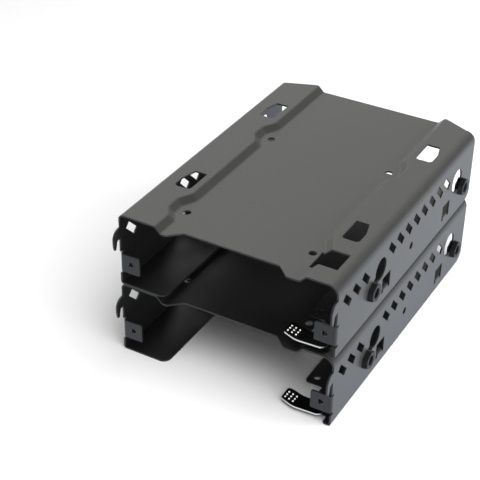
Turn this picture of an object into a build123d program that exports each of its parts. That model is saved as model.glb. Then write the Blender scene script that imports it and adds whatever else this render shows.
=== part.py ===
from build123d import *
import os
from math import atan, degrees

os.makedirs("parts", exist_ok=True)

# A stack of two hard drive trays, each folded from one blank of thin steel sheet.
# All sizes are in millimetres. X runs across the trays, +Y from the finger levers at the
# front to the open back, and +Z up. The row origin is on the floor under the middle of the stack.
# Each tray is drawn from its own datum: its mid-width, the front edge of its walls and its underside.

# Standard drives that the tray takes
large_drive_width = 101.6
large_drive_height = 25.4
side_screw_pitch = 101.6
side_screw_height = 6.35
small_drive_screws_x = 61.72
small_drive_screws_y = 76.6
small_drive_hole = 3.6

# Sheet and main sizes of one tray
sheet = 0.8
side_clearance = 1.6
lid_clearance = 0.1
shelf_top = 7.3
recess_depth = 3.0
wall_length = 148.9
lid_overhang = 5.7
top_bend = 5.0
left_top_bend = 2.6
fold_bend = 1.4

tray_width = large_drive_width + 2 * (side_clearance + sheet)
tray_height = shelf_top + large_drive_height + lid_clearance + sheet + recess_depth
half_width = tray_width / 2
lid_length = wall_length + lid_overhang
floor_half = half_width - fold_bend

# Lid: front edge set back between two corners, back edge slanted at both sides
front_setback = 5.5
setback_half = 23.2
setback_run = 5.9
rear_middle_half = 36.0

# Pressed recess of the lid, with a lobe around each small drive screw
recess_half = 34.6
ramp_run = 3.0
ramp_blend = 1.6
lobe_bulge = 3.7
lobe_flat = 8.0
lobe_front_run = 5.5
lobe_rear_run = 7.0
lobe_corner = 3.5
small_drive_middle = 58.8

# Cable tie openings in the raised strips of the lid
strip_opening_inset = 11.6
strip_opening_x = half_width - strip_opening_inset
strip_opening_width = 8.2
strip_opening_end = 6.2
strip_opening_length = 15.3
strip_opening_taper = 7.6
strip_opening_chamfer = 1.2
strip_opening_front = 33.2
strip_opening_pitch = 77.9

# Window in front of the front right opening, cut through the ramp
window_near = 34.0
window_inset = 6.2
window_far = half_width - window_inset
window_front = 10.6
window_rear = 23.1

# Slanted vents along the walls
vent_length = 8.8
vent_width = 3.4
vent_turn = -45.0
vent_height = 25.1
vent_first = 8.8
vent_pitch = 8.9
vents_in_row = 13
vents_left_out = (3, 4)

# Dampers in the walls, and the keyhole openings that they are pushed in through
damper_first = 34.0
damper_last = damper_first + side_screw_pitch
damper_height = shelf_top + side_screw_height
damper_across_corners = 9.7
damper_stand_out = 2.5
damper_edge = 0.4
damper_neck = 6.4
damper_inner = 9.0
damper_inner_thick = 1.0
damper_hole = 3.7
damper_pocket = 4.9
damper_pocket_depth = 1.2
keyhole_neck = 5.4
front_key_radius = 5.5
front_key_y = 8.1
front_key_z = 6.8
rear_key_radius = 5.9
rear_key_y = -6.8
rear_key_z = 6.5

# Windows with a lanced shelf that carries the drive
lance_middles = (49.2, 117.3)
lance_width = 8.5
lance_top = 13.6
lance_foot = 5.4
shelf_root_width = 5.2
shelf_width = 4.0
shelf_length = 6.0
shelf_bend = 1.2

# Small round hole in each wall
peg_hole_y = 75.8
peg_hole_z = 13.4
peg_hole = 3.6

# Front tabs with a tapped collar
tab_reach = 10.2
tab_inner = half_width - tab_reach
tab_foot = 6.9
tab_head = 16.2
tab_notch = 1.1
tab_notch_depth = 1.8
tab_corner = 0.8
tab_screw_inset = 5.4
tab_screw_x = half_width - tab_screw_inset
tapped_hole = 2.8
collar_outside = 4.4
collar_length = 1.3

# Hooks on the front edge of the walls
hook_root_top = 29.9
hook_root_low = 24.3
hook_reach = 5.1
hook_bend = 4.4
hook_throat = 2.4
hook_throat_corner = 1.0
hook_tip = 20.1
hook_tip_outer = 4.6
hook_tip_inner = 3.5
hook_tip_corner = 0.55
hook_nape = 22.9

# Lower rear corner of the walls
rear_corner = 4.5

# Floor flanges
flange_width = 23.2
flange_inner = half_width - flange_width
flange_corner = 4.0
cutback = 21.2
cutback_corner = 1.4
arm_width = 14.4
arm_inner = half_width - arm_width
arm_front = 4.6
lip_width = 4.0
lip_inner = half_width - lip_width
lip_corner = 1.2
pin_hole_inset = 19.2
pin_hole_x = half_width - pin_hole_inset
pin_hole_y = 25.6
pin_hole = 3.0

# Release lever, its spacer and its rivet, with the lever's points measured across from its pivot
lever_thick = 0.8
spacer_thick = 1.2
spacer_outside = 7.0
pivot_inset = 9.2
pivot_x = half_width - pivot_inset
pivot_y = 9.6
rivet_shank = 3.0
rivet_head = 5.2
rivet_head_thick = 0.9
rivet_head_edge = 0.35
rivet_foot = 4.2
rivet_foot_thick = 0.6
rivet_foot_taper = degrees(atan((rivet_foot - rivet_shank) / 2 / rivet_foot_thick))
running_clearance = 0.05
lever_eye = 4.4
lever_tip = 16.8
lever_tip_front = 3.7
lever_tip_rear = 10.1
lever_cheek = 13.8
lever_cheek_front = 1.3
lever_shoulder = 14.6
lever_shoulder_rear = 10.5
lever_waist = 8.6
lever_waist_rear = 8.2
lever_nose = 3.4
lever_nose_front = 0.0
lever_nose_rear = 3.4
lever_nose_corner = 1.6
lever_corner = 1.1
grip_rows = 3
grip_pitch = 2.15
grip_dot = 1.1
grip_rise = 0.35
grip_taper = 35.0
grip_turn = -13.0
grip_middle = 13.5
grip_y = 6.0

# Lower tray on the floor, upper tray standing on its strips
trays = {"lower": 0.0, "upper": tray_height}
front_edge = (hook_reach - lid_length) / 2
lever_level = sheet + spacer_thick
past = 1.0
hair = 0.1


def recess_plan():
    """Plan of the recess at strip level, wide at the front right and past both ends of the lid."""
    lobe = recess_half + lobe_bulge
    points = [(0, -lid_length), (recess_half, -lid_length)]
    for side in (-1, 1):
        middle = small_drive_middle + side * small_drive_screws_y / 2
        points.append((recess_half, middle - lobe_flat / 2 - lobe_front_run))
        points.append((lobe, middle - lobe_flat / 2))
        points.append((lobe, middle + lobe_flat / 2))
        points.append((recess_half, middle + lobe_flat / 2 + lobe_rear_run))
    points += [(recess_half, 2 * lid_length), (0, 2 * lid_length)]
    with BuildSketch() as plan:
        with BuildLine():
            Polyline(*points, close=True)
        make_face()
        turns = plan.vertices().sort_by(Axis.Y)[2:-2]
        fillet(turns, radius=lobe_corner)
        mirror(about=Plane.YZ)
        front_lobe = small_drive_middle - small_drive_screws_y / 2
        with Locations((0, -lid_length)):
            Rectangle(lobe, lid_length + front_lobe, align=Align.MIN)
    return plan.sketch


def lid_plan():
    """Plan of the lid between its two outer bends."""
    with BuildSketch() as plan:
        for side, bend in ((1, top_bend), (-1, left_top_bend)):
            with BuildLine():
                Polyline(
                    (0, front_setback),
                    (side * setback_half, front_setback),
                    (side * (setback_half + setback_run), 0),
                    (side * (half_width - bend), 0),
                    (side * (half_width - bend), wall_length),
                    (side * rear_middle_half, lid_length),
                    (0, lid_length),
                    close=True,
                )
            make_face()
    return plan.sketch


def strip_opening_plan():
    """Cable tie opening of the right strip, narrower at its back end."""
    near = strip_opening_x - strip_opening_width / 2
    far = strip_opening_x + strip_opening_width / 2
    back = strip_opening_front + strip_opening_length
    with BuildSketch() as plan:
        with BuildLine():
            Polyline(
                (near, strip_opening_front),
                (far, strip_opening_front),
                (far, back - strip_opening_taper),
                (near + strip_opening_end, back),
                (near, back),
                close=True,
            )
        make_face()
        chamfer(plan.vertices().group_by(Axis.Y)[0], length=strip_opening_chamfer)
    return plan.sketch


def make_lid():
    """Lid with its raised strips, pressed middle and openings, up to the outer bends."""
    taper = degrees(atan(ramp_run / recess_depth))
    pan_level = tray_height - recess_depth
    opening = strip_opening_plan()
    with BuildPart() as lid:
        with BuildSketch(Plane.XY.offset(tray_height - sheet)):
            add(recess_plan())
        extrude(amount=-recess_depth, taper=taper)
        with BuildSketch(Plane.XY.offset(pan_level - sheet)):
            add(lid_plan())
        extrude(amount=recess_depth, mode=Mode.INTERSECT)
        with BuildSketch(Plane.XY.offset(tray_height - sheet)):
            add(lid_plan())
        extrude(amount=sheet)
        with BuildSketch(Plane.XY.offset(tray_height)):
            add(recess_plan())
        extrude(amount=-recess_depth, taper=taper, mode=Mode.SUBTRACT)
        pan_side = recess_half - ramp_run - past
        strip_side = half_width - top_bend - past
        for height in (tray_height, pan_level):
            level_edges = lid.edges().filter_by_position(Axis.Z, height - hair, height + hair)
            inner_edges = level_edges.filter_by_position(Axis.Y, past, wall_length - past)
            ramp_edges = inner_edges.filter_by(lambda e: pan_side < abs(e.center().X) < strip_side)
            fillet(ramp_edges, radius=ramp_blend)
        with BuildSketch(Plane.XY.offset(tray_height + past)):
            with Locations((0, 0), (0, strip_opening_pitch)):
                add(opening)
            mirror(about=Plane.YZ)
        extrude(amount=-(sheet + 2 * past), mode=Mode.SUBTRACT)
        with BuildSketch(Plane.XY.offset(pan_level + past)):
            with Locations((0, small_drive_middle)):
                with GridLocations(small_drive_screws_x, small_drive_screws_y, 2, 2):
                    Circle(small_drive_hole / 2)
        extrude(amount=-(sheet + 2 * past), mode=Mode.SUBTRACT)
        with BuildSketch(Plane.XY.offset(tray_height + past)):
            with Locations((window_near, window_front)):
                Rectangle(window_far - window_near, window_rear - window_front, align=Align.MIN)
        extrude(amount=-(recess_depth + sheet + 2 * past), mode=Mode.SUBTRACT)
    return lid.part


def bend_section(outer, turn=0):
    """Quarter ring of a bend about its own centre, open to +X and +Y before it is turned."""
    with BuildSketch() as section:
        Circle(outer)
        Circle(outer - sheet, mode=Mode.SUBTRACT)
        Rectangle(outer, outer, align=Align.MIN, mode=Mode.INTERSECT)
    return section.sketch.rotate(Axis.Z, turn)


def hook_plan():
    """Hook that stands forward of the wall and points down."""
    with BuildSketch() as plan:
        with BuildLine():
            Polyline(
                (0, hook_root_top),
                (-hook_reach, hook_root_top),
                (-hook_reach, hook_nape),
                (-hook_tip_outer, hook_tip),
                (-hook_tip_inner, hook_tip),
                (-hook_throat, hook_root_low),
                (0, hook_root_low),
                close=True,
            )
        make_face()
        fillet(plan.vertices().group_by(Axis.Y)[0], radius=hook_tip_corner)
        outer_top = plan.vertices().group_by(Axis.Y)[-1].sort_by(Axis.X)[0]
        fillet(outer_top, radius=hook_bend)
        throat = plan.vertices().sort_by_distance((-hook_throat, hook_root_low))[0]
        fillet(throat, radius=hook_throat_corner)
    return plan.sketch


def keyhole_plan(middle, key_y, key_z, key_radius):
    """Seat of one damper and the round opening that it is pushed in through."""
    seat = (middle, damper_height)
    key = (middle + key_y, damper_height + key_z)
    with BuildSketch() as plan:
        with Locations(seat):
            Circle(damper_neck / 2 + running_clearance)
        with Locations(key):
            Circle(key_radius)
        with BuildLine():
            throat = Line(seat, key)
        trace(throat, line_width=keyhole_neck)
    return plan.sketch


def wall_plan(bend):
    """Side view of one wall between its two bends, with +Y of the tray along the plan's X."""
    rear_foot = wall_length - rear_corner
    with BuildSketch() as plan:
        with BuildLine():
            Polyline(
                (0, fold_bend),
                (0, tray_height - bend),
                (wall_length, tray_height - bend),
                (wall_length, fold_bend + rear_corner),
            )
            RadiusArc((wall_length, fold_bend + rear_corner), (rear_foot, fold_bend), rear_corner)
            Line((rear_foot, fold_bend), (0, fold_bend))
        make_face()
        add(hook_plan())
        notch_height = tab_head - tab_foot + 2 * tab_notch
        with Locations((0, tab_foot - tab_notch)):
            Rectangle(tab_notch_depth, notch_height, align=Align.MIN, mode=Mode.SUBTRACT)
        with Locations((fold_bend, tab_foot)):
            Rectangle(tab_notch_depth - fold_bend, tab_head - tab_foot, align=Align.MIN)
        for place in range(vents_in_row):
            if place not in vents_left_out:
                with Locations((vent_first + place * vent_pitch, vent_height)):
                    Rectangle(vent_length, vent_width, rotation=vent_turn, mode=Mode.SUBTRACT)
        add(keyhole_plan(damper_first, front_key_y, front_key_z, front_key_radius), mode=Mode.SUBTRACT)
        add(keyhole_plan(damper_last, rear_key_y, rear_key_z, rear_key_radius), mode=Mode.SUBTRACT)
        for middle in lance_middles:
            with Locations((middle, lance_foot)):
                Rectangle(
                    lance_width,
                    lance_top - lance_foot,
                    align=(Align.CENTER, Align.MIN),
                    mode=Mode.SUBTRACT,
                )
        with Locations((peg_hole_y, peg_hole_z)):
            Circle(peg_hole / 2, mode=Mode.SUBTRACT)
    return plan.sketch


def make_shelf(middle):
    """Tongue lanced from the wall and bent inward to carry the drive."""
    bend_level = shelf_top - shelf_bend
    with BuildPart() as shelf:
        with BuildSketch(Plane.XZ.offset(-middle)):
            with Locations((half_width - sheet, lance_foot)):
                Rectangle(sheet, bend_level - lance_foot, align=Align.MIN)
            with Locations((half_width - shelf_bend, bend_level)):
                add(bend_section(shelf_bend))
            with Locations((half_width - shelf_bend, shelf_top)):
                Rectangle(shelf_length - shelf_bend, sheet, align=Align.MAX)
        extrude(amount=shelf_root_width / 2, both=True)
        with BuildSketch(Plane.XY.offset(lance_foot)):
            with BuildLine():
                Polyline(
                    (half_width, middle - shelf_root_width / 2),
                    (half_width - shelf_bend, middle - shelf_root_width / 2),
                    (half_width - shelf_length, middle - shelf_width / 2),
                    (half_width - shelf_length, middle + shelf_width / 2),
                    (half_width - shelf_bend, middle + shelf_root_width / 2),
                    (half_width, middle + shelf_root_width / 2),
                    close=True,
                )
            make_face()
        extrude(amount=shelf_top - lance_foot, mode=Mode.INTERSECT)
    return shelf.part


def make_tab():
    """Front tab with its bend and the tapped collar drawn from it."""
    tab_middle = (tab_foot + tab_head) / 2
    with BuildPart() as tab:
        with BuildSketch(Plane.XY.offset(tab_foot)):
            with Locations((floor_half, fold_bend)):
                add(bend_section(fold_bend, -90))
            with Locations((tab_inner, 0)):
                Rectangle(floor_half - tab_inner, sheet, align=Align.MIN)
        extrude(amount=tab_head - tab_foot)
        inner_corners = tab.edges().filter_by(Axis.Y).group_by(Axis.X)[0]
        fillet(inner_corners, radius=tab_corner)
        with BuildSketch(Plane.XZ):
            with Locations((tab_screw_x, tab_middle)):
                Circle(collar_outside / 2)
        extrude(amount=-(sheet + collar_length))
        with BuildSketch(Plane.XZ):
            with Locations((tab_screw_x, tab_middle)):
                Circle(tapped_hole / 2)
        extrude(amount=-(sheet + collar_length), mode=Mode.SUBTRACT)
    return tab.part


def make_wall(bend):
    """Right wall with its bends, hook, front tab and lanced shelves."""
    with BuildPart() as wall:
        with BuildSketch(Plane.YZ.offset(half_width - sheet)):
            add(wall_plan(bend))
        extrude(amount=sheet)
        with BuildSketch(Plane.XZ):
            with Locations((half_width - bend, tray_height - bend)):
                add(bend_section(bend))
        extrude(amount=-wall_length)
        with BuildSketch(Plane.XZ):
            with Locations((floor_half, fold_bend)):
                add(bend_section(fold_bend, -90))
        extrude(amount=rear_corner - wall_length)
        add(make_tab())
        for middle in lance_middles:
            add(make_shelf(middle))
    return wall.part


def left_flange_plan():
    """Floor flange of the left side, drawn on the right and mirrored by its caller."""
    with BuildSketch() as plan:
        with Locations((flange_inner, 0)):
            Rectangle(floor_half - flange_inner, wall_length - rear_corner, align=Align.MIN)
        fillet(plan.vertices().group_by(Axis.X)[0], radius=flange_corner)
    return plan.sketch


def right_flange_plan():
    """Floor flange of the right side, cut back in front of the lever."""
    with BuildSketch() as plan:
        with BuildLine():
            Polyline(
                (flange_inner, cutback),
                (arm_inner, cutback),
                (arm_inner, arm_front),
                (lip_inner, arm_front),
                (lip_inner, 0),
                (floor_half, 0),
                (floor_half, wall_length - rear_corner),
                (flange_inner, wall_length - rear_corner),
                close=True,
            )
        make_face()
        for corner in ((flange_inner, cutback), (arm_inner, cutback), (arm_inner, arm_front)):
            fillet(plan.vertices().sort_by_distance(corner)[0], radius=cutback_corner)
        for corner in ((lip_inner, arm_front), (lip_inner, 0)):
            fillet(plan.vertices().sort_by_distance(corner)[0], radius=lip_corner)
        rear_inner = (flange_inner, wall_length - rear_corner)
        fillet(plan.vertices().sort_by_distance(rear_inner)[0], radius=flange_corner)
        with Locations((pin_hole_x, pin_hole_y)):
            Circle(pin_hole / 2, mode=Mode.SUBTRACT)
    return plan.sketch


def make_rivet():
    """Rivet of the lever, with a sunk foot under the flange and a round head over the lever."""
    with BuildPart() as rivet:
        with BuildSketch():
            with Locations((pivot_x, pivot_y)):
                Circle(rivet_shank / 2)
        extrude(amount=lever_level + lever_thick)
        with BuildSketch(Plane.XY.offset(lever_level + lever_thick)):
            with Locations((pivot_x, pivot_y)):
                Circle(rivet_head / 2)
        extrude(amount=rivet_head_thick)
        rim = rivet.edges().group_by(Axis.Z)[-1]
        chamfer(rim, length=rivet_head_edge)
        with BuildSketch():
            with Locations((pivot_x, pivot_y)):
                Circle(rivet_foot / 2)
        extrude(amount=rivet_foot_thick, taper=rivet_foot_taper)
    return rivet.part


def make_shell():
    """One whole folded blank: lid, both walls and both floor flanges."""
    with BuildPart() as blank:
        add(make_wall(top_bend))
        mirror(make_wall(left_top_bend), about=Plane.YZ)
        with BuildSketch():
            add(right_flange_plan())
            mirror(left_flange_plan(), about=Plane.YZ)
        extrude(amount=sheet)
        add(make_lid())
        with BuildSketch():
            with Locations((pivot_x, pivot_y)):
                Circle(rivet_shank / 2)
        extrude(amount=sheet, mode=Mode.SUBTRACT)
        with BuildSketch():
            with Locations((pivot_x, pivot_y)):
                Circle(rivet_foot / 2)
        extrude(amount=rivet_foot_thick, taper=rivet_foot_taper, mode=Mode.SUBTRACT)
    return blank.part


def lever_plan():
    """Plan of the lever, from the broad finger tip to the eye round the rivet."""
    with BuildSketch() as plan:
        with BuildLine():
            Polyline(
                (pivot_x - lever_tip, lever_tip_front),
                (pivot_x - lever_cheek, lever_cheek_front),
                (pivot_x + lever_nose, lever_nose_front),
                (pivot_x + lever_nose, lever_nose_rear),
                (pivot_x + lever_eye, pivot_y),
                (pivot_x - lever_eye, pivot_y),
                (pivot_x - lever_waist, lever_waist_rear),
                (pivot_x - lever_shoulder, lever_shoulder_rear),
                (pivot_x - lever_tip, lever_tip_rear),
                close=True,
            )
        make_face()
        nose = plan.vertices().sort_by_distance((pivot_x + lever_nose, lever_nose_front))[0]
        fillet(nose, radius=lever_nose_corner)
        fillet(plan.vertices().group_by(Axis.X)[0], radius=lever_corner)
        with Locations((pivot_x, pivot_y)):
            Circle(lever_eye)
        with Locations((pivot_x, pivot_y)):
            Circle(rivet_shank / 2 + running_clearance, mode=Mode.SUBTRACT)
    return plan.sketch


shell_shape = make_shell()
rivet_shape = make_rivet()

for tray, level in trays.items():
    datum = (0, front_edge, level)

    with BuildPart() as shell:
        with Locations(datum):
            add(shell_shape)
    shell.part.label = tray + "_shell"
    export_step(shell.part, "parts/" + shell.part.label + ".step")

    for row, damper_y in (("front", damper_first), ("rear", damper_last)):
        for side, out in (("right", 1), ("left", -1)):
            wall_face = Plane(
                origin=(out * half_width, front_edge + damper_y, level + damper_height),
                x_dir=(0, out, 0),
                z_dir=(out, 0, 0),
            )
            outer_point = wall_face.offset(damper_stand_out).origin
            with BuildPart() as damper:
                with BuildSketch(wall_face):
                    RegularPolygon(radius=damper_across_corners / 2, side_count=6)
                extrude(amount=damper_stand_out)
                chamfer(damper.faces().sort_by_distance(outer_point)[0].edges(), length=damper_edge)
                with BuildSketch(wall_face):
                    Circle(damper_neck / 2)
                extrude(amount=-sheet)
                with BuildSketch(wall_face.offset(-sheet)):
                    RegularPolygon(radius=damper_inner / 2, side_count=6)
                extrude(amount=-damper_inner_thick)
                with BuildSketch(wall_face.offset(damper_stand_out)):
                    Circle(damper_pocket / 2)
                extrude(amount=-damper_pocket_depth, mode=Mode.SUBTRACT)
                with BuildSketch(wall_face.offset(damper_stand_out)):
                    Circle(damper_hole / 2)
                extrude(
                    amount=-(damper_stand_out + sheet + damper_inner_thick),
                    mode=Mode.SUBTRACT,
                )
            damper.part.label = tray + "_damper_" + row + "_" + side
            export_step(damper.part, "parts/" + damper.part.label + ".step")

    flange_top = Plane(origin=(0, front_edge, level + sheet))
    with BuildPart() as spacer:
        with BuildSketch(flange_top):
            with Locations((pivot_x, pivot_y)):
                Circle(spacer_outside / 2)
                Circle(rivet_shank / 2 + running_clearance, mode=Mode.SUBTRACT)
        extrude(amount=spacer_thick)
    spacer.part.label = tray + "_lever_spacer"
    export_step(spacer.part, "parts/" + spacer.part.label + ".step")

    lever_face = flange_top.offset(spacer_thick + lever_thick)
    with BuildPart() as lever:
        with BuildSketch(lever_face):
            add(lever_plan())
        extrude(amount=-lever_thick)
        with BuildSketch(lever_face):
            with Locations(Location((pivot_x - grip_middle, grip_y), grip_turn)):
                with GridLocations(grip_pitch, grip_pitch, grip_rows, grip_rows):
                    RegularPolygon(radius=grip_dot / 2, side_count=8)
        extrude(amount=grip_rise, taper=grip_taper)
    lever.part.label = tray + "_lever"
    export_step(lever.part, "parts/" + lever.part.label + ".step")

    with BuildPart() as rivet:
        with Locations(datum):
            add(rivet_shape)
    rivet.part.label = tray + "_lever_rivet"
    export_step(rivet.part, "parts/" + rivet.part.label + ".step")
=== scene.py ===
import math
import bpy
import numpy as np
from mathutils import Matrix, Vector
from mathutils.geometry import tessellate_polygon


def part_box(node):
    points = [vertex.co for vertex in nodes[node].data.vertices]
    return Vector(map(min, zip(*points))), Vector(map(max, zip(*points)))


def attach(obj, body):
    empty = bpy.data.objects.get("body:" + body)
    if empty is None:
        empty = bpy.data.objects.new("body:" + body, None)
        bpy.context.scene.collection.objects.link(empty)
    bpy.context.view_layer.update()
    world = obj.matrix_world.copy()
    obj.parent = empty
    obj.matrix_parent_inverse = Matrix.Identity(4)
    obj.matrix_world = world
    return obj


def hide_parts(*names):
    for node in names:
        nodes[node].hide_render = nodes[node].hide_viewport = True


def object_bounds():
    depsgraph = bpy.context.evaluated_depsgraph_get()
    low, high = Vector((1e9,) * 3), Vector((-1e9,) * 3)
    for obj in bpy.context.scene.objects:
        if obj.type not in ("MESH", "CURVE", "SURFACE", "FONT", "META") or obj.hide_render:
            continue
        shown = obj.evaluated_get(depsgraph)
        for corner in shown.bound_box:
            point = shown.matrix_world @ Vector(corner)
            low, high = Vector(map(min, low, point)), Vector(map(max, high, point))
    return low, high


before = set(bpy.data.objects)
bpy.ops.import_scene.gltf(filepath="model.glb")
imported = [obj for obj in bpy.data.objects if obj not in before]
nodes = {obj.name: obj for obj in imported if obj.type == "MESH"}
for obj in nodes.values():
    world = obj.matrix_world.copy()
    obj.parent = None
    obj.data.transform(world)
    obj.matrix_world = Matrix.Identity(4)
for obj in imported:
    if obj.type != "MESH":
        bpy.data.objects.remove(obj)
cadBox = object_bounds()
trays = ("lower", "upper")
print("frame loaded:", len(nodes), "nodes")

# camera at the photograph's place: degrees, millimetres of lens, metres
cameraView = dict(
    azimuth=29.42,
    elevation=33.577,
    roll=0.864,
    lens=95.7,
    sensor=36.0,
    clipStart=0.01,
    place=(0.22089, -0.45331, 0.36895),
)


def makeCamera(view):
    # the camera looks down its own -Z, so its +Z points back along the line of sight
    azimuth = math.radians(view["azimuth"])
    elevation = math.radians(view["elevation"])
    back = Vector((
        math.sin(azimuth) * math.cos(elevation),
        -math.cos(azimuth) * math.cos(elevation),
        math.sin(elevation),
    ))
    turn = back.to_track_quat("Z", "Y").to_matrix() @ Matrix.Rotation(math.radians(view["roll"]), 3, "Z")
    data = bpy.data.cameras.new("photoCamera")
    data.lens = view["lens"]
    data.sensor_width = view["sensor"]
    data.clip_start = view["clipStart"]
    camera = bpy.data.objects.new("photoCamera", data)
    camera.matrix_world = Matrix.Translation(view["place"]) @ turn.to_4x4()
    bpy.context.scene.collection.objects.link(camera)
    bpy.context.scene.camera = camera


makeCamera(cameraView)
print("camera placed")


# node groups shared by the finishes

def newGroup(name, inputs, outputs):
    group = bpy.data.node_groups.new(name, "ShaderNodeTree")
    for label, kind, value in inputs:
        socket = group.interface.new_socket(name=label, in_out="INPUT", socket_type=kind)
        socket.default_value = value
    for label, kind in outputs:
        group.interface.new_socket(name=label, in_out="OUTPUT", socket_type=kind)
    start = group.nodes.new("NodeGroupInput")
    end = group.nodes.new("NodeGroupOutput")
    return group, start, end


def feed(tree, socket, value):
    # link a socket, or set a number or a colour
    if isinstance(value, bpy.types.NodeSocket):
        tree.links.new(value, socket)
    else:
        socket.default_value = value


def mathNode(tree, operation, *values, clamp=False):
    # a Math node, its inputs given as sockets or numbers
    node = tree.nodes.new("ShaderNodeMath")
    node.operation = operation
    node.use_clamp = clamp
    for place, value in enumerate(values):
        feed(tree, node.inputs[place], value)
    return node.outputs[0]


def ramp(tree, value, start, end, low, high, step="SMOOTHSTEP"):
    # goes from low to high while the value goes from start to end, and stays level on both sides
    node = tree.nodes.new("ShaderNodeMapRange")
    node.interpolation_type = step
    ends = (("Value", value), ("From Min", start), ("From Max", end), ("To Min", low), ("To Max", high))
    for label, given in ends:
        feed(tree, node.inputs[label], given)
    return node.outputs["Result"]


grainNoise = dict(fineDetail=2.0, broadScale=24.0, broadDetail=3.0)


def makeGrainGroup():
    # fine speckle of a baked coating: two noises of different size, as a shade and a height
    group, start, end = newGroup(
        "coatingGrain",
        [("Scale", "NodeSocketFloat", 1800.0), ("Contrast", "NodeSocketFloat", 0.1)],
        [("Shade", "NodeSocketFloat"), ("Height", "NodeSocketFloat")],
    )
    coords = group.nodes.new("ShaderNodeTexCoord")
    fine = group.nodes.new("ShaderNodeTexNoise")
    fine.inputs["Detail"].default_value = grainNoise["fineDetail"]
    broad = group.nodes.new("ShaderNodeTexNoise")
    broad.inputs["Scale"].default_value = grainNoise["broadScale"]
    broad.inputs["Detail"].default_value = grainNoise["broadDetail"]
    group.links.new(coords.outputs["Object"], fine.inputs["Vector"])
    group.links.new(coords.outputs["Object"], broad.inputs["Vector"])
    group.links.new(start.outputs["Scale"], fine.inputs["Scale"])
    mixed = mathNode(group, "ADD", fine.outputs["Fac"], broad.outputs["Fac"])
    centred = mathNode(group, "SUBTRACT", mixed, 1.0)
    shade = mathNode(group, "MULTIPLY_ADD", centred, start.outputs["Contrast"], 1.0)
    group.links.new(shade, end.inputs["Shade"])
    group.links.new(fine.outputs["Fac"], end.inputs["Height"])
    return group


edgeSamples = 6  # rays of the rounded normal


def makeEdgeWearAndHighlightGroup():
    # mask of the sheet's cut edges and corners, for a lighter edge colour that is partly coat wear and
    # partly painted highlight: how far a rounded normal leaves the face's own
    group, start, end = newGroup(
        "edgeWearAndHighlight",
        [("Radius", "NodeSocketFloat", 0.0003), ("Amount", "NodeSocketFloat", 1.0)],
        [("Mask", "NodeSocketFloat"), ("Normal", "NodeSocketVector")],
    )
    bevel = group.nodes.new("ShaderNodeBevel")
    bevel.samples = edgeSamples
    geometry = group.nodes.new("ShaderNodeNewGeometry")
    dot = group.nodes.new("ShaderNodeVectorMath")
    dot.operation = "DOT_PRODUCT"
    group.links.new(start.outputs["Radius"], bevel.inputs["Radius"])
    group.links.new(bevel.outputs["Normal"], dot.inputs[0])
    group.links.new(geometry.outputs["True Normal"], dot.inputs[1])
    lost = mathNode(group, "SUBTRACT", 1.0, dot.outputs["Value"])
    scaled = mathNode(group, "MULTIPLY", lost, start.outputs["Amount"], clamp=True)
    group.links.new(scaled, end.inputs["Mask"])
    group.links.new(bevel.outputs["Normal"], end.inputs["Normal"])
    return group


grainGroup = makeGrainGroup()
edgeWearAndHighlightGroup = makeEdgeWearAndHighlightGroup()


def placeGroup(tree, group, values):
    node = tree.nodes.new("ShaderNodeGroup")
    node.node_tree = group
    for label, value in values.items():
        node.inputs[label].default_value = value
    return node


def makeCutGroup():
    # mask of upright faces, where a flat piece shows the bare metal of its cut
    group, start, end = newGroup(
        "bareCut",
        [("Steep", "NodeSocketFloat", 0.5)],
        [("Mask", "NodeSocketFloat")],
    )
    geometry = group.nodes.new("ShaderNodeNewGeometry")
    parts = group.nodes.new("ShaderNodeSeparateXYZ")
    group.links.new(geometry.outputs["True Normal"], parts.inputs[0])
    level = mathNode(group, "ABSOLUTE", parts.outputs["Z"])
    upright = mathNode(group, "LESS_THAN", level, start.outputs["Steep"])
    group.links.new(upright, end.inputs["Mask"])
    return group


cutGroup = makeCutGroup()


def mixColour(tree, factor, first, second, blend="MIX"):
    node = tree.nodes.new("ShaderNodeMix")
    node.data_type = "RGBA"
    node.blend_type = blend
    # sockets 6, 7 and 2 are the node's two colours and its colour result
    for place, value in ((0, factor), (6, first), (7, second)):
        feed(tree, node.inputs[place], value)
    return node.outputs[2]


def coatedMaterial(name, finish):
    # coloured coat with grain, a lighter rim over each edge that is partly coat worn thin and partly painted
    # highlight, and a rounded normal
    material = bpy.data.materials.new(name)
    material.use_nodes = True
    tree = material.node_tree
    shader = tree.nodes["Principled BSDF"]
    shader.inputs["Metallic"].default_value = finish["metallic"]
    shader.inputs["Specular IOR Level"].default_value = finish["specular"]
    grain = placeGroup(tree, grainGroup,
                       {"Scale": finish["grainScale"], "Contrast": finish["grainContrast"]})
    edge = placeGroup(tree, edgeWearAndHighlightGroup,
                      {"Radius": finish["edgeRadius"], "Amount": finish["edgeAmount"]})
    speckled = mixColour(tree, 1.0, finish["colour"] + (1.0,), grain.outputs["Shade"], blend="MULTIPLY")
    coloured = mixColour(tree, edge.outputs["Mask"], speckled, finish["edgeWearAndHighlightColour"] + (1.0,))
    tree.links.new(coloured, shader.inputs["Base Color"])
    rough = mathNode(tree, "MULTIPLY", grain.outputs["Shade"], finish["roughness"])
    tree.links.new(rough, shader.inputs["Roughness"])
    bump = tree.nodes.new("ShaderNodeBump")
    bump.inputs["Strength"].default_value = finish["bump"]
    bump.inputs["Distance"].default_value = finish["bumpDistance"]
    tree.links.new(grain.outputs["Height"], bump.inputs["Height"])
    tree.links.new(edge.outputs["Normal"], bump.inputs["Normal"])
    tree.links.new(bump.outputs["Normal"], shader.inputs["Normal"])
    return material


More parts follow.
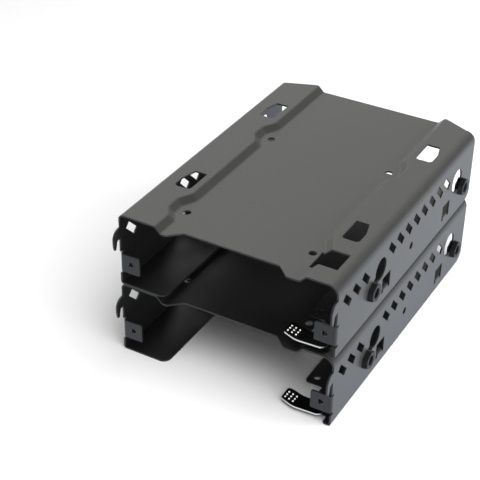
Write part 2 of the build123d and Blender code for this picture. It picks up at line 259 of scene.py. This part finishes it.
def bareTheCut(material, finish):
    # the upright faces of a coated flat piece become bright metal
    tree = material.node_tree
    shader = tree.nodes["Principled BSDF"]
    cut = placeGroup(tree, cutGroup, {"Steep": finish["cutSteep"]})
    coat = shader.inputs["Base Color"].links[0].from_socket
    bared = mixColour(tree, cut.outputs["Mask"], coat, finish["cutColour"] + (1.0,))
    tree.links.new(bared, shader.inputs["Base Color"])
    tree.links.new(cut.outputs["Mask"], shader.inputs["Metallic"])


# the lighter edge colours below are partly coat wear and partly painted highlight
sheetFinish = dict(
    colour=(0.130, 0.130, 0.127),
    edgeWearAndHighlightColour=(0.2, 0.205, 0.215),
    metallic=0.0,
    specular=0.5,
    roughness=0.36,
    grainScale=1500.0,
    grainContrast=0.05,
    bump=0.06,
    bumpDistance=0.0001,
    edgeRadius=0.00025,
    edgeAmount=1.4,
)
rubberFinish = dict(
    colour=(0.056, 0.057, 0.06),
    edgeWearAndHighlightColour=(0.11, 0.112, 0.118),
    metallic=0.0,
    specular=0.3,
    roughness=0.45,
    grainScale=900.0,
    grainContrast=0.12,
    bump=0.15,
    bumpDistance=0.0001,
    edgeRadius=0.0002,
    edgeAmount=1.0,
)
leverFinish = dict(
    colour=(0.012, 0.0115, 0.01),
    edgeWearAndHighlightColour=(0.12, 0.12, 0.12),
    metallic=0.0,
    specular=0.3,
    roughness=0.4,
    grainScale=1200.0,
    grainContrast=0.15,
    bump=0.1,
    bumpDistance=0.0001,
    edgeRadius=0.00015,
    edgeAmount=1.5,
    cutSteep=0.3,
    cutColour=(0.8, 0.78, 0.73),
)
# near-white colour of the grip dots: painted highlight
gripPaintedHighlightFinish = dict(
    colour=(0.9, 0.9, 0.86),
    edgeWearAndHighlightColour=(0.92, 0.92, 0.9),
    metallic=0.0,
    specular=0.5,
    roughness=0.3,
    grainScale=1600.0,
    grainContrast=0.08,
    bump=0.05,
    bumpDistance=0.0001,
    edgeRadius=0.0001,
    edgeAmount=0.5,
)
steelFinish = dict(
    colour=(0.42, 0.42, 0.41),
    edgeWearAndHighlightColour=(0.6, 0.6, 0.6),
    metallic=0.9,
    specular=0.5,
    roughness=0.4,
    grainScale=1400.0,
    grainContrast=0.12,
    bump=0.1,
    bumpDistance=0.0001,
    edgeRadius=0.0002,
    edgeAmount=1.0,
)
# the thread's steel is darker than the plated steel: painted shade of the deep hole
threadPaintedShadeFinish = dict(steelFinish, colour=(0.16, 0.16, 0.165), edgeWearAndHighlightColour=(0.5, 0.5, 0.52), roughness=0.22)

sheetCoat = coatedMaterial("sheetCoat", sheetFinish)
damperRubber = coatedMaterial("damperRubber", rubberFinish)
leverCoat = coatedMaterial("leverCoat", leverFinish)
bareTheCut(leverCoat, leverFinish)
gripPaintedHighlight = coatedMaterial("gripPaintedHighlight", gripPaintedHighlightFinish)
platedSteel = coatedMaterial("platedSteel", steelFinish)
threadSteelPaintedShade = coatedMaterial("threadSteelPaintedShade", threadPaintedShadeFinish)
print("finishes made")


def dress(node, material):
    mesh = nodes[node].data
    mesh.materials.clear()
    mesh.materials.append(material)


damperNodes = []
for tray in trays:
    dress(tray + "_shell", sheetCoat)
    dress(tray + "_lever", leverCoat)
    dress(tray + "_lever_spacer", platedSteel)
    dress(tray + "_lever_rivet", platedSteel)
    for row in ("front", "rear"):
        for side, out in (("right", 1), ("left", -1)):
            damperNodes.append((tray, tray + "_damper_" + row + "_" + side, out))
for tray, node, out in damperNodes:
    dress(node, damperRubber)
print("CAD nodes dressed")


# new pieces, which take their place from the node that they belong to

mm = 0.001


def ringMesh(name, across, up, along, material):
    # a grid of points, profile by angle, closed both ways; its faces are turned to point outwards
    rows, columns = across.shape
    points = np.stack([across, up, along], axis=-1).reshape(-1, 3)
    row, column = np.meshgrid(np.arange(rows), np.arange(columns), indexing="ij")
    nextRow, nextColumn = (row + 1) % rows, (column + 1) % columns
    corners = [row * columns + column, nextRow * columns + column,
               nextRow * columns + nextColumn, row * columns + nextColumn]
    faces = np.stack(corners, axis=-1).reshape(-1, 4)
    first, second, third, fourth = (points[faces[:, place]] for place in range(4))
    volume = np.sum(np.cross(third - first, fourth - second) * (first + second + third + fourth))
    if volume < 0:
        faces = faces[:, ::-1]
    mesh = bpy.data.meshes.new(name)
    mesh.from_pydata(points.tolist(), [], faces.tolist())
    mesh.polygons.foreach_set("use_smooth", np.ones(len(faces), bool))
    mesh.materials.append(material)
    piece = bpy.data.objects.new(name, mesh)
    bpy.context.scene.collection.objects.link(piece)
    return piece


def denseLoop(profile, spacing):
    # straight runs between the profile's corners, filled with points no further apart than the spacing
    corners = np.array(profile + profile[:1], float)
    spans = [np.linspace(0, 1, 2 + int(np.hypot(*(end - start)[:2]) / spacing), endpoint=False)
             for start, end in zip(corners[:-1], corners[1:])]
    return np.concatenate([start + span[:, None] * (end - start)
                           for span, start, end in zip(spans, corners[:-1], corners[1:])])


# rubber damper: sizes in millimetres, each point of the profile is radius, height and share of hexagon
damperShape = dict(
    standOut=2.5,
    segments=144,
    spacing=0.25,
    sides=6,
    cornerPower=60,
    profile=[
        (1.85, -1.8, 0.0),
        (1.85, 0.95, 0.0),
        (1.95, 1.05, 0.0),
        (2.3, 1.25, 0.0),
        (2.42, 2.1, 0.0),
        (2.5, 2.28, 0.0),
        (2.65, 2.34, 0.1),
        (3.1, 2.36, 0.5),
        (3.3, 2.44, 0.8),
        (3.5, 2.5, 1.0),
        (3.8, 2.47, 1.0),
        (3.92, 2.36, 1.0),
        (3.98, 2.2, 1.0),
        (4.14, 0.5, 1.0),
        (4.18, 0.2, 1.0),
        (4.16, 0.08, 1.0),
        (4.1, 0.01, 1.0),
        (3.2, 0.01, 0.0),
        (3.2, -0.81, 0.0),
        (3.5, -0.81, 0.6),
        (3.75, -0.84, 1.0),
        (3.88, -0.95, 1.0),
        (3.88, -1.6, 1.0),
        (3.75, -1.75, 1.0),
        (3.6, -1.8, 1.0),
        (3.0, -1.8, 0.0),
    ],
)


def makeDamper(tray, node, out):
    # radius at an angle: the profile's own, stretched towards a rounded hexagon by its share;
    # the hexagon is one over the power sum's root of the cosines to its flats
    low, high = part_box(node)
    wall = (high.x if out > 0 else low.x) - out * damperShape["standOut"] * mm
    loop = denseLoop(damperShape["profile"], damperShape["spacing"])
    angle = np.arange(damperShape["segments"]) * 2 * math.pi / damperShape["segments"]
    flats = np.arange(damperShape["sides"]) * 2 * math.pi / damperShape["sides"]
    toward = np.clip(np.cos(angle[None, :] - flats[:, None]), 0, 1)
    power = damperShape["cornerPower"]
    hexagon = np.sum(toward ** power, axis=0) ** (-1 / power)
    radius = loop[:, :1] * mm * (1 + loop[:, 2:] * (hexagon[None, :] - 1))
    along = np.repeat(wall + out * loop[:, 1:2] * mm, len(angle), axis=1)
    across = (low.y + high.y) / 2 + radius * np.cos(angle)
    up = (low.z + high.z) / 2 + radius * np.sin(angle)
    piece = ringMesh(node + "_rubber", along, across, up, damperRubber)
    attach(piece, tray + "_tray")
    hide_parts(node)


for tray, node, out in damperNodes:
    makeDamper(tray, node, out)
print("dampers made")


# thread in the collar of each front tab, in millimetres from the middle, front and underside of the shell
threadShape = dict(
    hookReach=5.1,
    x=47.8,
    z=11.55,
    bore=1.42,
    root=1.39,
    depth=0.2,
    pitch=0.79,
    length=2.0,
    start=0.05,
    rows=61,
    segments=48,
)


def makeThread(tray, side, out):
    # radius: the core less a triangle wave of height over pitch, turned once round per pitch
    low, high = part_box(tray + "_shell")
    height = np.linspace(0, threadShape["length"], threadShape["rows"])[:, None]
    angle = (np.arange(threadShape["segments"]) * 2 * math.pi / threadShape["segments"])[None, :]
    turns = (height / threadShape["pitch"] - out * angle / (2 * math.pi)) % 1
    wave = 1 - np.abs(2 * turns - 1)
    fade = np.clip(np.minimum(height, threadShape["length"] - height) / threadShape["pitch"] * 2, 0, 1)
    inner = threadShape["root"] - threadShape["depth"] * wave * fade
    ends = np.full((2, threadShape["segments"]), threadShape["bore"])
    radius = np.concatenate([inner, ends]) * mm
    depth = np.concatenate([height, [[threadShape["length"]], [0.0]]]) * mm
    front = low.y + (threadShape["hookReach"] + threadShape["start"]) * mm
    along = np.repeat(front + depth, threadShape["segments"], axis=1)
    across = out * threadShape["x"] * mm + radius * np.cos(angle)
    up = low.z + threadShape["z"] * mm + radius * np.sin(angle)
    piece = ringMesh(tray + "_" + side + "_tab_thread", across, along, up, threadSteelPaintedShade)
    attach(piece, tray + "_tray")


for tray in trays:
    for side, out in (("right", 1), ("left", -1)):
        makeThread(tray, side, out)
print("threads made")


# grip dots of the lever, coloured near-white as a painted highlight, in millimetres from the lever's lowest
# corner
gripShape = dict(
    x=3.77,
    y=5.73,
    dotRise=0.35,
    places=(-1, 0, 1),
    alongStep=(2.2, -0.52),
    backStep=(0.06, 1.78),
    radius=0.42,
    height=0.5,
    sunk=0.05,
    rings=9,
    segments=24,
)


def makeGrip(tray):
    # each dot is half an ellipsoid: radius by the cosine and height by the sine of one angle
    low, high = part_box(tray + "_lever")
    base = high.z - gripShape["dotRise"] * mm
    rise = np.linspace(0, math.pi / 2, gripShape["rings"])[:, None]
    angle = (np.arange(gripShape["segments"]) * 2 * math.pi / gripShape["segments"])[None, :]
    radius = gripShape["radius"] * mm * np.cos(rise)
    height = base + gripShape["height"] * mm * np.sin(rise) + 0 * angle
    shoulder = np.concatenate([np.zeros((1, 1)), radius]) + 0 * angle
    levels = np.concatenate([np.full((1, gripShape["segments"]), base - gripShape["sunk"] * mm), height])
    middle = np.array([gripShape["x"], gripShape["y"]])
    alongStep, backStep = np.array(gripShape["alongStep"]), np.array(gripShape["backStep"])
    pieces = []
    for alongPlace in gripShape["places"]:
        for backPlace in gripShape["places"]:
            x, y = (middle + alongPlace * alongStep + backPlace * backStep) * mm + (low.x, low.y)
            pieces.append(ringMesh("dot", x + shoulder * np.cos(angle), y + shoulder * np.sin(angle),
                                   levels, gripPaintedHighlight))
    joined = pieces[0]
    with bpy.context.temp_override(active_object=joined, selected_editable_objects=pieces):
        bpy.ops.object.join()
    joined.name = tray + "_lever_grip"
    joined.data.name = joined.name
    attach(joined, tray + "_lever")
    return joined


grips = [makeGrip(tray) for tray in trays]
print("grips made")


# plate of the lever, in millimetres from its pivot; each corner has its place and how far it is cut back
leverShape = dict(
    pivot=(16.8, 9.6),
    thick=0.8,
    bore=1.55,
    boreSegments=48,
    eye=4.4,
    eyeSegments=32,
    cornerSegments=9,
    front=[(-16.7, -6.4, 0.8), (-10.1, -8.95, 2.4), (1.7, -8.35, 0.9), (3.3, -6.9, 0.7)],
    rear=[(-5.7, -0.7, 0.8), (-9.1, -0.5, 1.2), (-15.0, 1.2, 1.1), (-16.9, 0.8, 0.8)],
)


def roundedLoop(corners, segments):
    # straight runs between the corners; a corner is a quadratic blend from the point that lies
    # its cut before it, by itself, to the point that lies its cut after it; without a cut it is one point
    places, cuts = corners[:, :2], corners[:, 2:]
    toLast, toNext = np.roll(places, 1, axis=0) - places, np.roll(places, -1, axis=0) - places
    start = places + toLast * cuts / np.hypot(*toLast.T)[:, None]
    end = places + toNext * cuts / np.hypot(*toNext.T)[:, None]
    share = np.linspace(0, 1, segments)[:, None, None]
    blends = (1 - share) ** 2 * start + 2 * share * (1 - share) * places + share ** 2 * end
    kept = (cuts > 0) | (np.arange(segments) == 0)
    return blends.swapaxes(0, 1)[kept]


def makeLever(tray):
    # outline and bore filled to one flat face, drawn once low and once high, with walls between
    low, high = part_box(tray + "_lever")
    around = np.linspace(0, math.pi, leverShape["eyeSegments"])
    eye = leverShape["eye"] * np.stack([np.cos(around), np.sin(around), 0 * around], axis=-1)
    corners = np.concatenate([leverShape["front"], eye, leverShape["rear"]])
    outline = roundedLoop(corners, leverShape["cornerSegments"])
    turn = -np.arange(leverShape["boreSegments"]) * 2 * math.pi / leverShape["boreSegments"]
    bore = leverShape["bore"] * np.stack([np.cos(turn), np.sin(turn)], axis=-1)
    flat = np.concatenate([outline, bore])
    filled = np.array(tessellate_polygon([outline.tolist(), bore.tolist()]))
    first, second = flat[filled[:, 1]] - flat[filled[:, 0]], flat[filled[:, 2]] - flat[filled[:, 0]]
    facesDown = first[:, 0] * second[:, 1] < first[:, 1] * second[:, 0]
    filled[facesDown] = filled[facesDown][:, ::-1]
    walls = []
    for start, count in ((0, len(outline)), (len(outline), len(bore))):
        here = start + np.arange(count)
        following = start + (np.arange(count) + 1) % count
        walls.append(np.stack([here, following, following + len(flat), here + len(flat)], axis=-1))
    faces = (filled + len(flat)).tolist() + filled[:, ::-1].tolist() + np.concatenate(walls).tolist()
    places = (flat + leverShape["pivot"]) * mm + (low.x, low.y)
    levels = np.repeat([low.z, low.z + leverShape["thick"] * mm], len(flat))
    points = np.column_stack([np.concatenate([places, places]), levels])
    mesh = bpy.data.meshes.new(tray + "_lever_plate")
    mesh.from_pydata(points.tolist(), [], faces)
    mesh.materials.append(leverCoat)
    piece = bpy.data.objects.new(tray + "_lever_plate", mesh)
    bpy.context.scene.collection.objects.link(piece)
    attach(piece, tray + "_lever")
    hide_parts(tray + "_lever")


for tray in trays:
    makeLever(tray)
print("levers made")


# studio: floor, lamps and the white surround

studio = dict(
    floorSize=6.0,
    floorRoughness=0.9,
    fade=(0.3, 0.9),
    floorMirror=(0.88, 0.94, 1.04),
    cardSide=(0.05, 0.16),
    cardLow=0.08,
    cardHigh=1.6,
    cardFront=(-0.12, -0.06),
    underHalf=(0.045, 0.068),
    underEdge=0.008,
    underShade=0.08,
    ambient=0.064,
    gleamToward=(-0.8, 0.1, 0.6),
    gleamAcross=(-0.2, 0.66),
    gleamLow=0.024,
    gleamHigh=0.48,
)
lamps = dict(
    keyLamp=dict(power=16.3, size=1.0, place=(-0.6, 0.45, 1.1), lights="part"),
    sideLamp=dict(power=5.6, size=0.7, place=(1.25, 0.3, 0.5), lights="part"),
    floorLamp=dict(power=42.0, size=2.0, place=(0.65, -0.12, 1.1), lights="floor"),
    gripLamp=dict(power=22.0, size=0.5, place=(0.45, -1.0, 0.75), lights="grips"),
)


def seenByRays(tree, labels):
    # 1 for the kinds of ray that are named, 0 for the rest
    path = tree.nodes.new("ShaderNodeLightPath")
    seen = path.outputs[labels[0]]
    for label in labels[1:]:
        seen = mathNode(tree, "MAXIMUM", seen, path.outputs[label])
    return seen


def mixShader(tree, factor, first, second):
    mix = tree.nodes.new("ShaderNodeMixShader")
    for place, value in enumerate((factor, first, second)):
        tree.links.new(value, mix.inputs[place])
    return mix.outputs[0]


def worldLight(tree, strength):
    light = tree.nodes.new("ShaderNodeBackground")
    light.inputs["Color"].default_value = (1.0, 1.0, 1.0, 1.0)
    feed(tree, light.inputs["Strength"], strength)
    return light.outputs[0]


def makeWorld():
    # white where the camera sees it, a soft gradient across the room in gloss, even light for the rest
    world = bpy.data.worlds.new("studioWorld")
    world.use_nodes = True
    tree = world.node_tree
    tree.nodes.remove(tree.nodes["Background"])
    coords = tree.nodes.new("ShaderNodeTexCoord")
    dot = tree.nodes.new("ShaderNodeVectorMath")
    dot.operation = "DOT_PRODUCT"
    tree.links.new(coords.outputs["Generated"], dot.inputs[0])
    dot.inputs[1].default_value = Vector(studio["gleamToward"]).normalized()
    gleam = ramp(tree, dot.outputs["Value"], *studio["gleamAcross"], studio["gleamLow"], studio["gleamHigh"])
    inGloss = mixShader(tree, seenByRays(tree, ["Is Glossy Ray"]),
                        worldLight(tree, studio["ambient"]), worldLight(tree, gleam))
    whole = mixShader(tree, seenByRays(tree, ["Is Camera Ray", "Is Transmission Ray"]),
                      inGloss, worldLight(tree, 1.0))
    tree.links.new(whole, tree.nodes["World Output"].inputs["Surface"])
    bpy.context.scene.world = world


def paleFloor():
    # where it is seen, white that takes the shadow near the part and is its own light far off;
    # for bounced light a pale card at the right side;
    # for gloss an even pale surface that is dark in the rectangle under the part
    material = bpy.data.materials.new("paleFloor")
    material.use_nodes = True
    tree = material.node_tree
    shader = tree.nodes["Principled BSDF"]
    shader.inputs["Base Color"].default_value = (1.0, 1.0, 1.0, 1.0)
    shader.inputs["Roughness"].default_value = studio["floorRoughness"]
    shader.inputs["Specular IOR Level"].default_value = 0.0
    coords = tree.nodes.new("ShaderNodeTexCoord")
    place = tree.nodes.new("ShaderNodeSeparateXYZ")
    tree.links.new(coords.outputs["Object"], place.inputs[0])

    cardHigh = ramp(tree, place.outputs["Y"], *studio["cardFront"], 0.0, studio["cardHigh"], step="LINEAR")
    card = ramp(tree, place.outputs["X"], *studio["cardSide"], studio["cardLow"], cardHigh)

    past = [mathNode(tree, "SUBTRACT", mathNode(tree, "ABSOLUTE", place.outputs[axis]), edge)
            for axis, edge in zip("XY", studio["underHalf"])]
    under = ramp(tree, mathNode(tree, "MAXIMUM", *past), 0.0, studio["underEdge"], studio["underShade"], 1.0,
                 step="LINEAR")
    mirror = mixColour(tree, 1.0, studio["floorMirror"] + (1.0,), under, blend="MULTIPLY")

    white = seenByRays(tree, ["Is Camera Ray", "Is Transmission Ray"])
    tint = mixColour(tree, seenByRays(tree, ["Is Glossy Ray"]), card, mirror)
    glow = tree.nodes.new("ShaderNodeEmission")
    tree.links.new(mixColour(tree, white, tint, (1.0, 1.0, 1.0, 1.0)), glow.inputs["Color"])

    # share of its own light: where it is seen, none near the part and all of it far off; else all of it
    reach = tree.nodes.new("ShaderNodeVectorMath")
    reach.operation = "LENGTH"
    tree.links.new(coords.outputs["Object"], reach.inputs[0])
    far = ramp(tree, reach.outputs["Value"], *studio["fade"], -1.0, 0.0)
    share = mathNode(tree, "MULTIPLY_ADD", white, far, 1.0)
    tree.links.new(mixShader(tree, share, shader.outputs[0], glow.outputs[0]),
                   tree.nodes["Material Output"].inputs["Surface"])
    return material


def makeFloor():
    # a flat square; its material is paleFloor
    half = studio["floorSize"] / 2
    corners = [(-half, -half, 0), (half, -half, 0), (half, half, 0), (-half, half, 0)]
    mesh = bpy.data.meshes.new("studioFloor")
    mesh.from_pydata(corners, [], [(0, 1, 2, 3)])
    mesh.materials.append(paleFloor())
    floor = bpy.data.objects.new("studioFloor", mesh)
    bpy.context.scene.collection.objects.link(floor)
    return floor


def makeLamp(name, lamp, floor, grips):
    # a lamp lights all but the floor, the floor alone or the grip dots alone, and shows in no reflection
    data = bpy.data.lights.new(name, "AREA")
    data.energy = lamp["power"]
    data.size = lamp["size"]
    piece = bpy.data.objects.new(name, data)
    piece.location = lamp["place"]
    middle = Vector((0.0, 0.0, cadBox[1].z / 2))
    piece.rotation_mode = "QUATERNION"
    piece.rotation_quaternion = (Vector(lamp["place"]) - middle).to_track_quat("Z", "Y")
    piece.visible_glossy = False
    piece.visible_camera = False
    bpy.context.scene.collection.objects.link(piece)
    receivers = bpy.data.collections.new(name + "Receivers")
    for member in grips if lamp["lights"] == "grips" else [floor]:
        receivers.objects.link(member)
    for member in receivers.collection_objects:
        member.light_linking.link_state = "EXCLUDE" if lamp["lights"] == "part" else "INCLUDE"
    piece.light_linking.receiver_collection = receivers


makeWorld()
floor = makeFloor()
for name, lamp in lamps.items():
    makeLamp(name, lamp, floor, grips)
bpy.context.scene.view_settings.view_transform = "Standard"
print("studio made")
